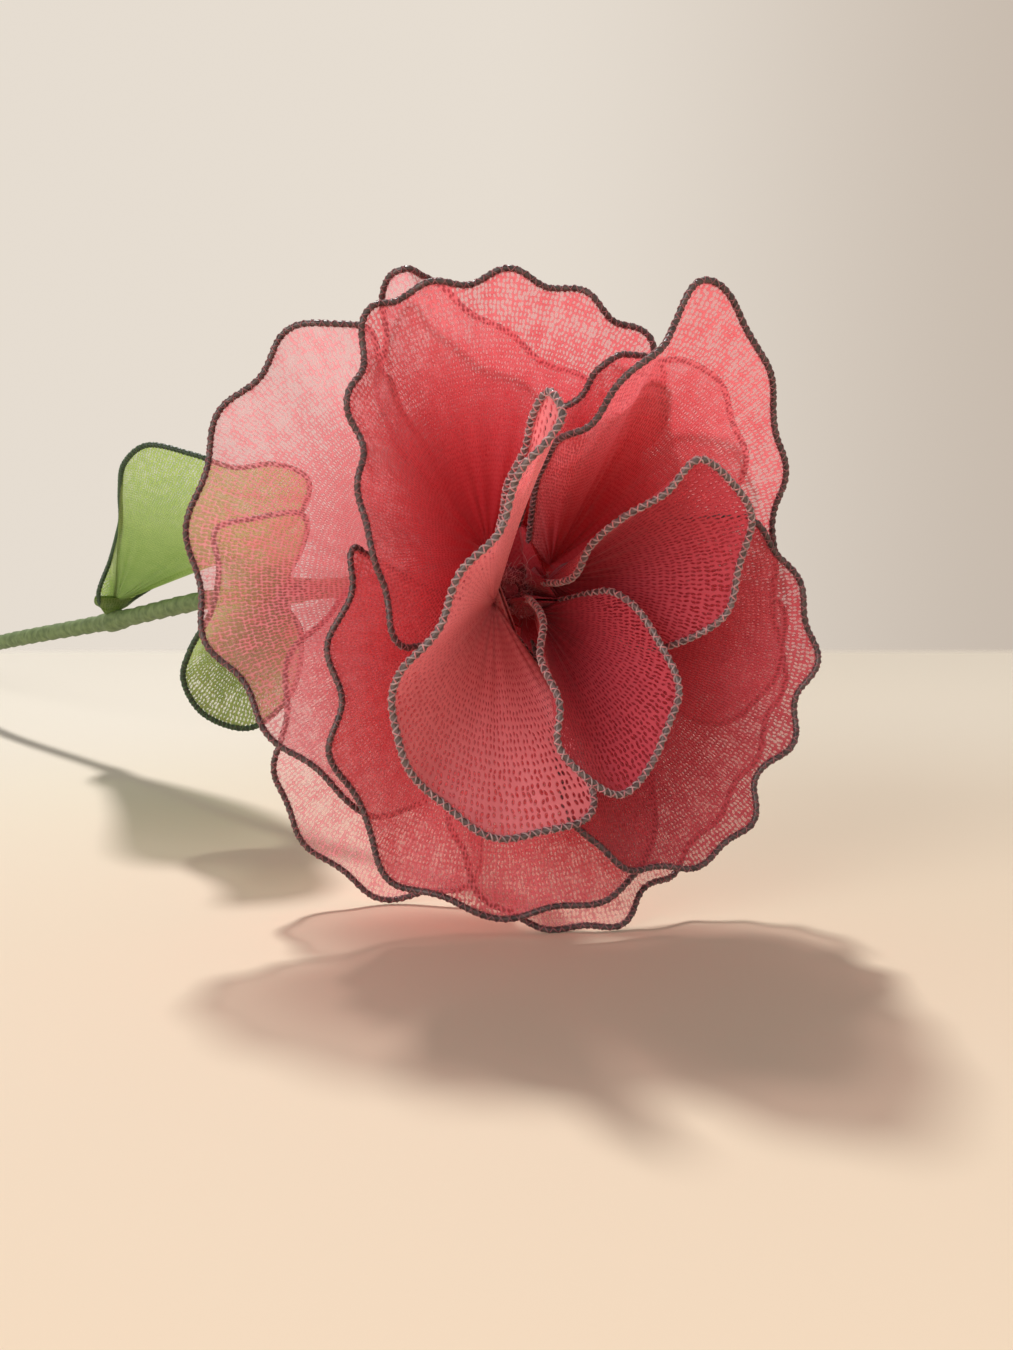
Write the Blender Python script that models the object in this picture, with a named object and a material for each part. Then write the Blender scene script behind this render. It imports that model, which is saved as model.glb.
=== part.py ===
# Nylon mesh rose: thirteen petals and two leaves of sheer nylon knit pulled over bent wire loops,
# tied round a tape-wrapped stem. It lies on a table, on the rims of its lower petals and its stem's cut end.
# Metres, +Z up. The bloom faces -Y, and the stem runs back along +Y and to -X.

import math

import bmesh
import bpy
import numpy as np
from mathutils import Vector

MM = 0.001

# Wire, knit and clearances
PETAL_WIRE = 0.0009
LEAF_WIRE = 0.0010
NYLON = 0.0003
CLEARANCE = 0.0003
LOOP_FOOT = 0.0015
NECK_WIDTH = 0.0006
NECK_RISE = 0.003

# Petal lengths, from the throat to the farthest rim of each ring of petals
INNER_LENGTH = 0.040
MIDDLE_LENGTH = 0.044
OUTER_LENGTH = 0.045

# Shares of a loop's length: its two legs run up to the rim, and the scallops fade in and out near its foot
LEG_SHARE = 0.17
SCALLOP_START = 0.10
SCALLOP_FADE = 0.08
SCALLOP_RUFFLE = 0.5
MIDDLE_ROW_SHARE = 0.55

# Head: the throat is where all petals meet, and the tape-wrapped knob behind it carries their feet
NIPPLE_RADIUS = 0.0010
NIPPLE_LENGTH = 0.0022
KNOB_FRONT_RADIUS = 0.0018
KNOB_BACK_RADIUS = 0.0038
KNOB_LENGTH = 0.0125
KNOB_STATIONS = (0.35, 0.8, 1.0)
KNOB_END_SHARE = 0.9
NECK_LENGTH = 0.005
STEP_EDGE = 0.0002
WIRE_STATION = 3
THREAD = 0.0004
THREAD_TURNS = 2
THREAD_PITCH = 0.0006

# Stem
STEM_WIRE = 0.0020
STEM_TAPE = 0.0034
WIRE_END = 0.0012
LEAF_LENGTH = 0.056
SMALL_LEAF_LENGTH = 0.036

# How finely each shape is divided
RIM_STEPS = 44
LEAF_STEPS = 24
LEG_STEPS = 4
SPAN_STEPS = 24
STEM_STEPS = 36
STEM_SIDES = 8
CORE_SIDES = 6
THREAD_SIDES = 5
THREAD_TURN_STEPS = 8
SHARP_EDGE = math.radians(50)

# The stem's route from the throat, in millimetres: across, back, up
STEM_ROUTE = [
    (0, 6, 0), (0, 18, 0), (-5, 27, -0.5), (-20, 42, -2), (-38, 60, -4), (-57, 80, -7), (-83, 109, -13.5),
    (-123, 152, -22.5), (-156, 200, -32), (-183, 251, -40.4),
]

# Each petal's knots, bent by hand round its loop, in hundredths of its ring's length from the throat:
# across, up and out towards the viewer. Its seat is the angle round the knob and how far behind the throat
# its foot stands, and its scallops are their number round the loop, their phase and their height.
INNER = [
    dict(name="inner_petal_1", seat=(205, 0.5 * MM), scallops=(11.5, 0.20, 0.5 * MM), knots=[
        (-3, 23, 32), (3, 44, 55), (11, 58, 70), (14, 53, 78), (9, 45, 78), (3, 37, 75), (-3, 22, 72),
        (-13, 10, 72), (-20, -5, 72), (-30, -18, 70), (-34, -30, 68), (-28, -47, 65), (-18, -60, 62),
        (0, -68, 60), (14, -67, 55), (24, -61, 48), (22, -47, 40), (14, -30, 22)]),
    dict(name="inner_petal_2", seat=(310, 0.9 * MM), scallops=(6.0, 0.10, 0.2 * MM), knots=[
        (6, -2, 15), (10, -8, 35), (9, -18, 48), (14, -29, 57), (14, -41, 60), (21, -50, 60), (32, -56, 55),
        (42, -48, 50), (48, -35, 45), (50, -27, 42), (46, -15, 38), (39, -4, 32), (30, 1, 24), (19, -2, 11)]),
    dict(name="inner_petal_3", seat=(25, 1.5 * MM), scallops=(6.0, 0.10, 0.2 * MM), knots=[
        (11, 3, 10), (19, 6, 28), (24, 16, 38), (33, 24, 45), (44, 31, 50), (54, 41, 52), (65, 33, 45),
        (72, 23, 38), (69, 8, 32), (65, -6, 30), (50, -16, 24), (35, -15, 12), (19, -7, 2)]),
]
MIDDLE = [
    dict(name="middle_petal_1", seat=(325, 3.2 * MM), scallops=(13.0, 0.10, 0.5 * MM), knots=[
        (10, -29, 9), (14, -54, 30), (21, -66, 36), (30, -74, 34), (39, -77, 30), (50, -78, 25), (59, -74, 23),
        (69, -67, 20), (71, -55, 18), (81, -43, 16), (84, -30, 14), (88, -18, 14), (84, -2, 14), (78, 10, 16),
        (68, 20, 18), (51, 22, 16), (26, 9, 2)]),
    dict(name="middle_petal_2", seat=(235, 3.2 * MM), scallops=(10.5, 0.35, 0.3 * MM), knots=[
        (-21, -1, 2), (-35, 8, 20), (-43, 13, 30), (-44, 2, 32), (-50, -13, 32), (-47, -28, 34),
        (-50, -42, 34), (-44, -55, 32), (-39, -67, 32), (-33, -80, 34), (-17, -84, 36), (0, -90, 36),
        (14, -86, 35), (28, -85, 32), (37, -79, 23), (43, -61, 11), (33, -33, -2)]),
    dict(name="middle_petal_3", seat=(40, 5.0 * MM), scallops=(11.5, 0.90, 0.5 * MM), knots=[
        (6, 21, 7), (10, 39, 32), (20, 46, 45), (27, 55, 50), (37, 64, 50), (43, 73, 45), (49, 82, 43),
        (60, 78, 36), (67, 65, 30), (74, 54, 20), (75, 43, 16), (79, 31, 9), (76, 16, 7), (79, -6, 2),
        (79, -27, 0), (70, -38, -2), (55, -39, -5), (34, -25, -9)]),
    dict(name="middle_petal_4", seat=(88, 5.2 * MM), scallops=(9.0, 0.30, 0.5 * MM), knots=[
        (3, 21, -2), (8, 44, 11), (16, 53, 20), (24, 61, 25), (31, 67, 25), (40, 64, 20), (44, 52, 11),
        (35, 35, 0), (18, 13, -9)]),
    dict(name="middle_petal_5", seat=(138, 7.6 * MM), scallops=(15.5, 0.85, 0.8 * MM), knots=[
        (-12, -9, 14), (-27, -14, 36), (-34, -2, 39), (-35, 10, 41), (-40, 21, 39), (-40, 36, 34),
        (-43, 51, 32), (-40, 69, 25), (-37, 80, 23), (-24, 84, 20), (-8, 88, 18), (7, 88, 16), (22, 82, 14),
        (37, 73, 9), (44, 56, 0), (36, 35, -7), (15, 13, -14)]),
]
OUTER = [
    dict(name="outer_petal_1", seat=(182, 8.2 * MM), scallops=(11.0, 0.75, 0.4 * MM), knots=[
        (-20, 32, -4), (-34, 59, 9), (-39, 73, 16), (-51, 74, 16), (-62, 71, 13), (-70, 60, 13),
        (-80, 50, 13), (-85, 36, 13), (-90, 18, 13), (-88, 1, 13), (-85, -13, 16), (-76, -24, 18),
        (-68, -38, 20), (-57, -47, 22), (-46, -57, 22), (-36, -63, 18), (-23, -59, 9), (-15, -33, -2)]),
    dict(name="outer_petal_2", seat=(215, 10 * MM), scallops=(9.5, 0.45, 0.5 * MM), knots=[
        (-24, -1, -16), (-40, 4, -9), (-53, -7, -4), (-62, -15, -2), (-66, -29, 0), (-67, -44, 2),
        (-69, -56, 2), (-64, -69, 2), (-56, -79, 2), (-41, -90, 2), (-27, -91, 2), (-12, -86, 2),
        (-6, -58, -9)]),
    dict(name="outer_petal_3", seat=(285, 10 * MM), scallops=(14.5, 0.10, 0.5 * MM), knots=[
        (-6, -34, -9), (-17, -64, 11), (-11, -79, 22), (-3, -88, 27), (14, -92, 29), (29, -92, 27),
        (39, -84, 20), (46, -81, 13), (57, -71, 4), (68, -58, -2), (76, -44, -7), (82, -25, -9),
        (81, -7, -11), (69, 2, -13), (34, -4, -20)]),
    dict(name="outer_petal_4", seat=(110, 10 * MM), scallops=(9.0, 0.45, 0.4 * MM), knots=[
        (-18, 26, -16), (-37, 49, -7), (-36, 71, 2), (-33, 88, 9), (-28, 90, 11), (-23, 87, 4),
        (-10, 79, -2), (2, 71, -4), (12, 65, -7), (22, 59, -7), (19, 41, -13), (6, 17, -20)]),
    dict(name="outer_petal_5", seat=(55, 10 * MM), scallops=(9.0, 0.75, 0.4 * MM), knots=[
        (15, 26, -13), (29, 52, -4), (40, 63, 0), (51, 66, 0), (59, 59, 0), (65, 47, 0), (67, 32, -2),
        (59, 17, -7), (30, 8, -18)]),
]

# Each leaf's knots, in hundredths of its length from its foot, and the stem route's point that it is tied at
LEAVES = [
    dict(name="leaf_1", length=LEAF_LENGTH, tied_at=6, knots=[
        (-2, 13, 11), (3, 14, 23), (12, 34, 34), (17, 48, 39), (21, 62, 48), (27, 77, 57), (36, 84, 62),
        (51, 88, 59), (64, 89, 55), (77, 91, 56), (86, 89, 52), (81, 73, 40), (58, 43, 27), (24, 13, 17)]),
    dict(name="leaf_2", length=SMALL_LEAF_LENGTH, tied_at=4, knots=[
        (10, 34, 22), (15, 50, 34), (12, 61, 38), (-3, 72, 36), (-20, 78, 31), (-19, 78, 14), (-24, 72, -4),
        (-35, 67, -22), (-39, 64, -35), (-31, 61, -51), (-11, 56, -58), (7, 50, -42), (10, 40, -18)]),
]


def clear_scene():
    for obj in list(bpy.data.objects):
        bpy.data.objects.remove(obj, do_unlink=True)


def material(name, colour, roughness, metallic=0.0):
    mat = bpy.data.materials.new(name)
    mat.use_nodes = True
    shader = mat.node_tree.nodes["Principled BSDF"]
    shader.inputs["Base Color"].default_value = (*colour, 1.0)
    shader.inputs["Roughness"].default_value = roughness
    shader.inputs["Metallic"].default_value = metallic
    return mat


def add_object(name, data, mat, carrier):
    obj = bpy.data.objects.new(name, data)
    obj.data.materials.append(mat)
    obj.parent = carrier
    bpy.context.collection.objects.link(obj)
    return obj


def unit(vectors):
    return vectors / np.maximum(np.linalg.norm(vectors, axis=-1, keepdims=True), 1e-12)


def smooth_curve(points, closed):
    """A smooth curve through the points, with more even bends where they lie unevenly."""
    points = np.array(points, float)
    count = len(points)
    spans = count if closed else count - 1
    curve = []
    for i in range(spans):
        before, start, end, after = (points[(i + k) % count] if closed else points[min(max(i + k, 0), count - 1)]
                                     for k in (-1, 0, 1, 2))
        d1 = max(np.linalg.norm(start - before), 1e-9) ** 0.5
        d2 = max(np.linalg.norm(end - start), 1e-9) ** 0.5
        d3 = max(np.linalg.norm(after - end), 1e-9) ** 0.5
        out_slope = end - start + d2 * ((start - before) / d1 - (end - before) / (d1 + d2))
        in_slope = end - start + d2 * ((after - end) / d3 - (after - start) / (d2 + d3))
        for t in np.arange(SPAN_STEPS) / SPAN_STEPS:
            curve.append((2 * t**3 - 3 * t**2 + 1) * start + (t**3 - 2 * t**2 + t) * out_slope
                         + (3 * t**2 - 2 * t**3) * end + (t**3 - t**2) * in_slope)
    if not closed:
        curve.append(points[-1])
    return np.array(curve)


def along(curve, shares):
    """Points at the given shares of an open curve's length."""
    steps = np.linalg.norm(np.diff(curve, axis=0), axis=1)
    length = np.concatenate([[0], np.cumsum(steps)])
    return np.stack([np.interp(shares * length[-1], length, curve[:, k]) for k in range(3)], axis=1)


def knob_radius(back):
    """Radius of the knob at a distance behind the throat."""
    stations = [0, KNOB_LENGTH * KNOB_STATIONS[1], KNOB_LENGTH, KNOB_LENGTH + NECK_LENGTH]
    radii = [KNOB_FRONT_RADIUS, KNOB_BACK_RADIUS, KNOB_BACK_RADIUS * KNOB_END_SHARE, STEM_TAPE / 2]
    return float(np.interp(back, stations, radii))


def petal_foot(seat):
    """Where a petal's loop stands on the knob."""
    angle, back = math.radians(seat[0]), seat[1]
    reach = (knob_radius(back) + CLEARANCE) / math.cos(math.pi / STEM_SIDES) + PETAL_WIRE / 2
    return np.array([reach * math.cos(angle), back, reach * math.sin(angle)])


def loop_samples(foot, knots, steps):
    """The loop's centre line from its left foot round the rim to its right foot, finer along the rim."""
    side = unit(unit(knots[0] - foot) - unit(knots[-1] - foot))
    points = [foot + side * LOOP_FOOT / 2, *knots, foot - side * LOOP_FOOT / 2]
    curve = smooth_curve(points, closed=True)[:(len(points) - 1) * SPAN_STEPS + 1]
    legs = np.linspace(0, LEG_SHARE, LEG_STEPS, endpoint=False)
    rim = np.linspace(LEG_SHARE, 1 - LEG_SHARE, steps - 2 * LEG_STEPS)
    return along(curve, np.concatenate([legs, rim, 1 - legs[::-1]]))


def scalloped(loop, foot, scallops):
    """Bends the rim in and out by its scallops, and a little up and down."""
    count, phase, height = scallops
    tangent = unit(np.gradient(loop, axis=0))
    outward = loop - foot
    outward = unit(outward - tangent * (outward * tangent).sum(axis=1, keepdims=True))
    across = np.cross(tangent, outward)
    steps = np.linalg.norm(np.diff(loop, axis=0), axis=1)
    share = np.concatenate([[0], np.cumsum(steps)]) / steps.sum()
    fade = np.clip((np.minimum(share, 1 - share) - SCALLOP_START) / SCALLOP_FADE, 0, 1)
    turn = 2 * math.pi * (count * share + phase)
    wave = (np.cos(turn) * fade * height)[:, None]
    ruffle = (np.sin(turn) * fade * height * SCALLOP_RUFFLE)[:, None]
    return loop + outward * wave + across * ruffle


def wire_loop(name, loop, diameter, mat, carrier):
    """A bent wire whose two ends meet at its foot."""
    curve = bpy.data.curves.new(name, "CURVE")
    curve.dimensions = "3D"
    curve.bevel_depth = diameter / 2
    curve.bevel_resolution = 0
    curve.resolution_u = 1
    curve.render_resolution_u = 0
    spline = curve.splines.new("POLY")
    spline.points.add(len(loop) - 1)
    for point, place in zip(spline.points, loop):
        point.co = (*place, 1.0)
    spline.use_cyclic_u = True
    return add_object(name, curve, mat, carrier)


def cover_rows(loop, foot, diameter):
    """The knit's neck, its middle row and its edge just inside the wire."""
    inset = diameter / 2 + CLEARANCE + NYLON / 2
    count = len(loop)
    legs = np.minimum(np.arange(count), np.arange(count)[::-1])
    blend = np.clip(legs / LEG_STEPS - 0.5, 0, 1)[:, None]
    target = loop[::-1] * (1 - blend) + loop.mean(axis=0) * blend
    tangent = unit(np.gradient(loop, axis=0))
    inward = target - loop
    inward = unit(inward - tangent * (inward * tangent).sum(axis=1, keepdims=True))
    edge = loop + inward * inset
    widths = np.linalg.norm(loop - loop[::-1], axis=1)
    first = next(i for i in range(1, count) if widths[i] > 2 * inset + NECK_WIDTH)
    edge = edge[first:count - first]
    neck = foot + unit(unit(loop - foot).mean(axis=0)) * NECK_RISE
    middle = neck + (edge - neck) * MIDDLE_ROW_SHARE
    middle[1:-1] = (middle[:-2] + 2 * middle[1:-1] + middle[2:]) / 4
    return neck, middle, edge


def cover(name, loop, foot, diameter, mat, carrier):
    """A sheet of knit stretched inside the loop, in straight spans from its neck to the rim."""
    neck, middle, edge = cover_rows(loop, foot, diameter)
    bm = bmesh.new()
    neck_vert = bm.verts.new(neck)
    mid = [bm.verts.new(place) for place in middle]
    rim = [bm.verts.new(place) for place in edge]
    for i in range(len(edge) - 1):
        bm.faces.new((neck_vert, mid[i], mid[i + 1]))
        bm.faces.new((mid[i], rim[i], rim[i + 1], mid[i + 1]))
    bmesh.ops.recalc_face_normals(bm, faces=bm.faces)
    mesh = bpy.data.meshes.new(name)
    bm.to_mesh(mesh)
    bm.free()
    mesh.shade_smooth()
    obj = add_object(name, mesh, mat, carrier)
    solidify = obj.modifiers.new("knit_thickness", "SOLIDIFY")
    solidify.thickness = NYLON
    solidify.offset = 0
    return obj


def petal(shape, length, mats, carrier):
    foot = petal_foot(shape["seat"])
    knots = np.array([(a, -out, up) for a, up, out in shape["knots"]]) * length / 100
    loop = scalloped(loop_samples(foot, knots, RIM_STEPS), foot, shape["scallops"])
    wire = wire_loop(shape["name"] + "_wire", loop, PETAL_WIRE, mats["wire"], carrier)
    sheet = cover(shape["name"] + "_cover", loop, foot, PETAL_WIRE, mats["coral"], carrier)
    return wire, sheet


def leaf(shape, route, mats, carrier):
    """A leaf loop whose foot stands on the stem, on the side that the leaf grows to."""
    knots = np.array([(a, -towards, up) for a, towards, up in shape["knots"]]) * shape["length"] / 100
    tied = np.array(STEM_ROUTE[shape["tied_at"]]) * MM
    nearest = np.argmin(np.linalg.norm(route - tied, axis=1))
    run = unit(route[nearest + 1] - route[nearest - 1])
    growth = knots.mean(axis=0)
    growth = unit(growth - run * (growth @ run))
    stand_off = (STEM_TAPE / 2 + CLEARANCE) / math.cos(math.pi / STEM_SIDES) + LEAF_WIRE / 2
    foot = route[nearest] + growth * stand_off
    loop = loop_samples(foot, route[nearest] + knots, LEAF_STEPS)
    wire_loop(shape["name"] + "_wire", loop, LEAF_WIRE, mats["green_wire"], carrier)
    cover(shape["name"] + "_cover", loop, foot, LEAF_WIRE, mats["green"], carrier)


def tube_rings(bm, centres, radii, sides):
    """Rings round a line, carried along it without twist."""
    tangents = unit(np.gradient(centres, axis=0))
    side = unit(np.cross(tangents[0], [0, 0, 1.0]))
    rings = []
    for centre, tangent, radius in zip(centres, tangents, radii):
        side = unit(side - tangent * (side @ tangent))
        other = np.cross(tangent, side)
        turns = np.arange(sides) * 2 * math.pi / sides
        rings.append([bm.verts.new(centre + radius * (math.cos(a) * side + math.sin(a) * other)) for a in turns])
    return rings


def skin(bm, rings):
    for ring, following in zip(rings, rings[1:]):
        for i in range(len(ring)):
            j = (i + 1) % len(ring)
            bm.faces.new((ring[i], ring[j], following[j], following[i]))


def finish_mesh(name, bm, mat, carrier):
    bmesh.ops.recalc_face_normals(bm, faces=bm.faces)
    mesh = bpy.data.meshes.new(name)
    bm.to_mesh(mesh)
    bm.free()
    mesh.shade_smooth()
    mesh.set_sharp_from_angle(angle=SHARP_EDGE)
    return add_object(name, mesh, mat, carrier)


def stem_line(route):
    """The tape's centres and radii: a nipple and a knob on the head's axis, then the stem's route."""
    head = [-NIPPLE_LENGTH, -STEP_EDGE, 0] + [KNOB_LENGTH * share for share in KNOB_STATIONS]
    head.append(KNOB_LENGTH + NECK_LENGTH)
    radii = [NIPPLE_RADIUS, NIPPLE_RADIUS] + [knob_radius(back) for back in head[2:]]
    start = np.searchsorted(route[:, 1], head[-1] + STEM_TAPE / 2)
    centres = np.array([(0, back, 0) for back in head] + list(route[start:]))
    return centres, radii + [STEM_TAPE / 2] * (len(centres) - len(head))


def stem_tape(centres, radii, mat, carrier):
    """Floral tape round the stem wire: a hollow tube open at the cut end, and a knob at the head."""
    hollow = (STEM_WIRE / 2 + CLEARANCE) / math.cos(math.pi / STEM_SIDES)
    core = centres[WIRE_STATION:]
    bm = bmesh.new()
    outer = tube_rings(bm, centres, radii, STEM_SIDES)
    inner = tube_rings(bm, core, [hollow] * len(core), STEM_SIDES)
    skin(bm, outer)
    skin(bm, inner)
    bm.faces.new(outer[0])
    bm.faces.new(inner[0])
    skin(bm, [outer[-1], inner[-1]])
    return finish_mesh("stem_tape", bm, mat, carrier)


def stem_wire(centres, mat, carrier):
    """The core wire, which shows at the snipped end."""
    core = centres[WIRE_STATION:].copy()
    core[0] = core[0] + unit(core[1] - core[0]) * CLEARANCE
    core = np.vstack([core, core[-1] + unit(core[-1] - core[-2]) * WIRE_END])
    bm = bmesh.new()
    rings = tube_rings(bm, core, [STEM_WIRE / 2] * len(core), CORE_SIDES)
    skin(bm, rings)
    bm.faces.new(rings[0])
    bm.faces.new(rings[-1])
    return finish_mesh("stem_wire", bm, mat, carrier)


def binding_thread(mat, carrier):
    """Turns of thread round the nipple that the petals' necks are tied to."""
    steps = THREAD_TURNS * THREAD_TURN_STEPS
    reach = NIPPLE_RADIUS + CLEARANCE + THREAD / 2
    turns = [(2 * math.pi * THREAD_TURNS * i / steps, THREAD_TURNS * THREAD_PITCH * i / steps)
             for i in range(steps + 1)]
    front = NIPPLE_LENGTH - THREAD_TURNS * THREAD_PITCH - THREAD / 2
    centres = np.array([(reach * math.cos(a), -front - y, reach * math.sin(a)) for a, y in turns])
    bm = bmesh.new()
    rings = tube_rings(bm, centres, [THREAD / 2] * len(centres), THREAD_SIDES)
    skin(bm, rings)
    bm.faces.new(rings[0])
    bm.faces.new(rings[-1])
    return finish_mesh("binding_thread", bm, mat, carrier)


def lay_on_table(carrier):
    """Moves the rose so that its box stands on z = 0, centred on the origin."""
    bpy.context.view_layer.update()
    graph = bpy.context.evaluated_depsgraph_get()
    corners = []
    for obj in carrier.children:
        shape = obj.evaluated_get(graph)
        mesh = shape.to_mesh()
        corners += [shape.matrix_world @ vertex.co for vertex in mesh.vertices]
        shape.to_mesh_clear()
    low = Vector([min(corner[k] for corner in corners) for k in range(3)])
    high = Vector([max(corner[k] for corner in corners) for k in range(3)])
    carrier.location = (-(low.x + high.x) / 2, -(low.y + high.y) / 2, -low.z)


def main():
    clear_scene()
    carrier = bpy.data.objects.new("rose", None)
    bpy.context.collection.objects.link(carrier)
    mats = {
        "coral": material("coral_nylon", (0.62, 0.12, 0.13), 0.75),
        "wire": material("rim_wire", (0.16, 0.09, 0.09), 0.6),
        "green": material("green_nylon", (0.28, 0.45, 0.16), 0.75),
        "green_wire": material("leaf_wire", (0.05, 0.10, 0.05), 0.6),
        "tape": material("floral_tape", (0.10, 0.14, 0.05), 0.8),
        "steel": material("stem_steel", (0.30, 0.30, 0.29), 0.4, 1.0),
        "thread": material("tying_thread", (0.45, 0.16, 0.15), 0.8),
    }
    route = along(smooth_curve(np.array(STEM_ROUTE) * MM, closed=False), np.linspace(0, 1, STEM_STEPS))
    for ring, length in ((INNER, INNER_LENGTH), (MIDDLE, MIDDLE_LENGTH), (OUTER, OUTER_LENGTH)):
        for shape in ring:
            petal(shape, length, mats, carrier)
    for shape in LEAVES:
        leaf(shape, route, mats, carrier)
    centres, radii = stem_line(route)
    stem_tape(centres, radii, mats["tape"], carrier)
    stem_wire(centres, mats["steel"], carrier)
    binding_thread(mats["thread"], carrier)
    lay_on_table(carrier)


main()
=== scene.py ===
# Nylon mesh rose: sheer knit petals and leaves stretched over thread-wrapped wire loops, on a taped stem.
# It lies on a pale table and is seen from in front, as in the photograph. Metres, +Z up.
import math

import bpy
import numpy as np
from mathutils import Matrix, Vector


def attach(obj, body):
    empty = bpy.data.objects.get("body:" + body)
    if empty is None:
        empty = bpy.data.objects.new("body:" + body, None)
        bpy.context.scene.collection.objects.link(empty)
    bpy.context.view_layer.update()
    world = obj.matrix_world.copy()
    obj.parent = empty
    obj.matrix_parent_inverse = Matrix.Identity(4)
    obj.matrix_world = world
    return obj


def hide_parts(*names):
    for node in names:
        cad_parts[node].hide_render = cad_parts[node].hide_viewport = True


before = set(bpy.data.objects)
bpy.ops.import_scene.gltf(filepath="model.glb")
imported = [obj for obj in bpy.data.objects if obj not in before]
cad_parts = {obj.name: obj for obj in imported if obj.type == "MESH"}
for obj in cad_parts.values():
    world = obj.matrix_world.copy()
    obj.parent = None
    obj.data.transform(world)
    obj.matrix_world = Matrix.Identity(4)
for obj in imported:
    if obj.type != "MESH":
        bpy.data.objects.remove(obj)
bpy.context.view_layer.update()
mm = 0.001

# The head's shared sizes: the loops follow the same bends as the solids that they replace
head = {
    "nippleLength": 2.2 * mm,
    "nippleRadius": 1.0 * mm,
    "knobStations": (0, 4.375 * mm, 10 * mm, 12.5 * mm, 17.5 * mm),
    "knobRadii": (1.8 * mm, 2.675 * mm, 3.8 * mm, 3.42 * mm, 1.7 * mm),
    "knobSides": 8,
    "gap": 0.3 * mm,
    "footWidth": 1.5 * mm,
    "neckRise": 3 * mm,
    "neckClear": 1.02,
    "spanSteps": 24,
    "scallopStart": 0.10,
    "scallopFade": 0.08,
    "scallopRuffle": 0.5,
}

# The throat is where all petals meet, just behind the front face of the stem's nipple
tapeCorners = np.array([corner.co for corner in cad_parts["stem_tape"].data.vertices])
nippleFace = tapeCorners[tapeCorners[:, 1] < tapeCorners[:, 1].min() + 0.05 * mm]
throat = (nippleFace.min(axis=0) + nippleFace.max(axis=0)) / 2 + np.array([0, head["nippleLength"], 0])

# Camera, at the photograph's place and viewing angle
view = {
    "fromThroat": (-0.5 * mm, -180 * mm, 11.7 * mm),
    "tiltDown": 7.25,
    "focalPixels": 1375,
    "imageWidth": 1013,
    "sensorWidth": 36,
    "nearest": 0.01,
    "transparentBounces": 40,
    "diffuseBounces": 5,
}
cameraData = bpy.data.cameras.new("camera")
cameraData.sensor_fit = "HORIZONTAL"
cameraData.sensor_width = view["sensorWidth"]
cameraData.lens = cameraData.sensor_width * view["focalPixels"] / view["imageWidth"]
cameraData.clip_start = view["nearest"]
camera = bpy.data.objects.new("camera", cameraData)
camera.location = Vector(throat) + Vector(view["fromThroat"])
camera.rotation_euler = (math.radians(90 - view["tiltDown"]), 0, 0)
bpy.context.scene.collection.objects.link(camera)
bpy.context.scene.camera = camera
bpy.context.scene.view_settings.view_transform = "Standard"
bpy.context.scene.cycles.transparent_max_bounces = view["transparentBounces"]
bpy.context.scene.cycles.diffuse_bounces = view["diffuseBounces"]
print("camera placed, throat at", [round(float(x), 5) for x in throat])


# Node trees are put together with put: feeds are a node's inputs, as a value or another node's output
def put(tree, kind, feeds=None, **settings):
    node = tree.nodes.new(kind)
    for setting, value in settings.items():
        setattr(node, setting, value)
    for socket, feed in (feeds or {}).items():
        if isinstance(feed, bpy.types.NodeSocket):
            tree.links.new(feed, node.inputs[socket])
        else:
            node.inputs[socket].default_value = feed
    return node


def calc(tree, operation, *values):
    return put(tree, "ShaderNodeMath", dict(enumerate(values)), operation=operation).outputs[0]


def newMaterial(name):
    material = bpy.data.materials.new(name)
    material.use_nodes = True
    material.node_tree.nodes.clear()
    return material, material.node_tree


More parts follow.
